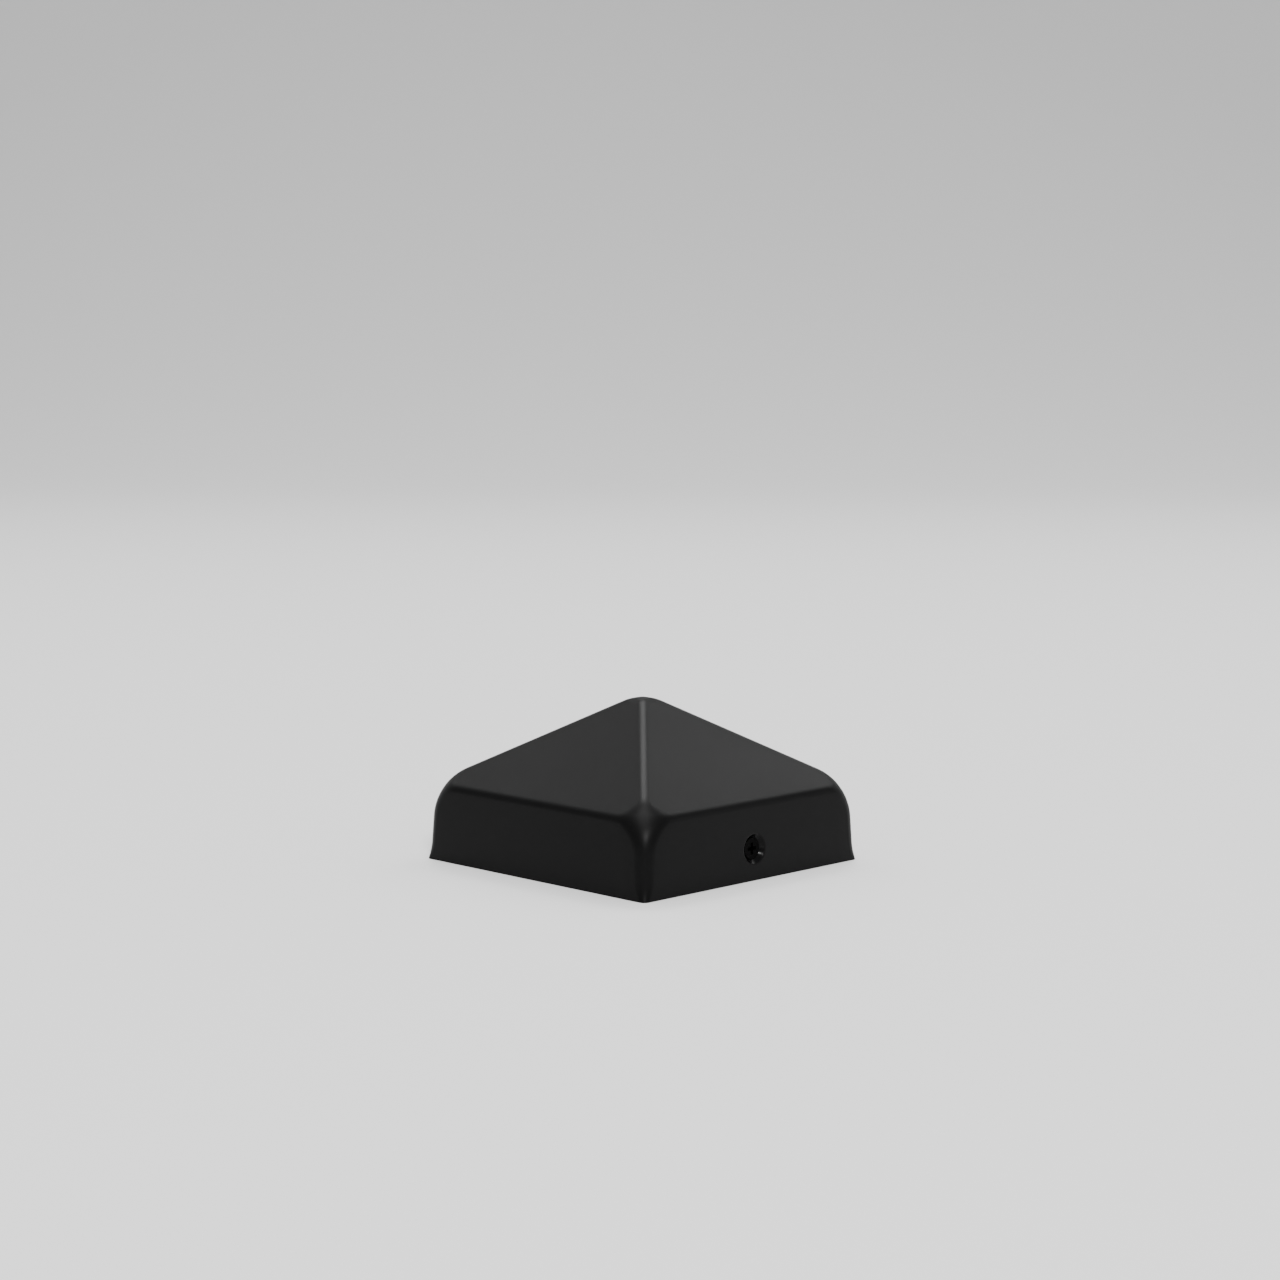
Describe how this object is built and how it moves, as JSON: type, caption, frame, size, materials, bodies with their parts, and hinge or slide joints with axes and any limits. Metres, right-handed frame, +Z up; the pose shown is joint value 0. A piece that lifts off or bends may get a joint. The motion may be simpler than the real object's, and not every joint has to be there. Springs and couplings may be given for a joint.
{
  "type": "fence post cap",
  "caption": "Drawn sheet-metal pyramid cap for a square timber fence post, with softly rounded hips and countersunk screws through opposite sides of its skirt.",
  "frame": {"origin": "centre of the mouth, in the plane of the rim", "axes": "+Z up to the peak; the screw holes are in the middle of the +X and -X sides"},
  "size_m": [0.073, 0.073, 0.039],
  "materials": {
    "powder_coat": "black satin powder coat with a fine texture",
    "screw_black": "black coated steel"
  },
  "bodies": {
    "cap": {"cap_shell": "powder_coat"},
    "right_screw": {"fixing_screw_right": "screw_black"},
    "left_screw": {"fixing_screw_left": "screw_black"}
  },
  "joints": [
    {"name": "right_screw_out", "type": "slide", "parent": "cap", "child": "right_screw", "axis": [0.9995, 0, 0.0314], "range_m": [0, 0.022]},
    {"name": "left_screw_out", "type": "slide", "parent": "cap", "child": "left_screw", "axis": [-0.9995, 0, 0.0314], "range_m": [0, 0.022]}
  ]
}
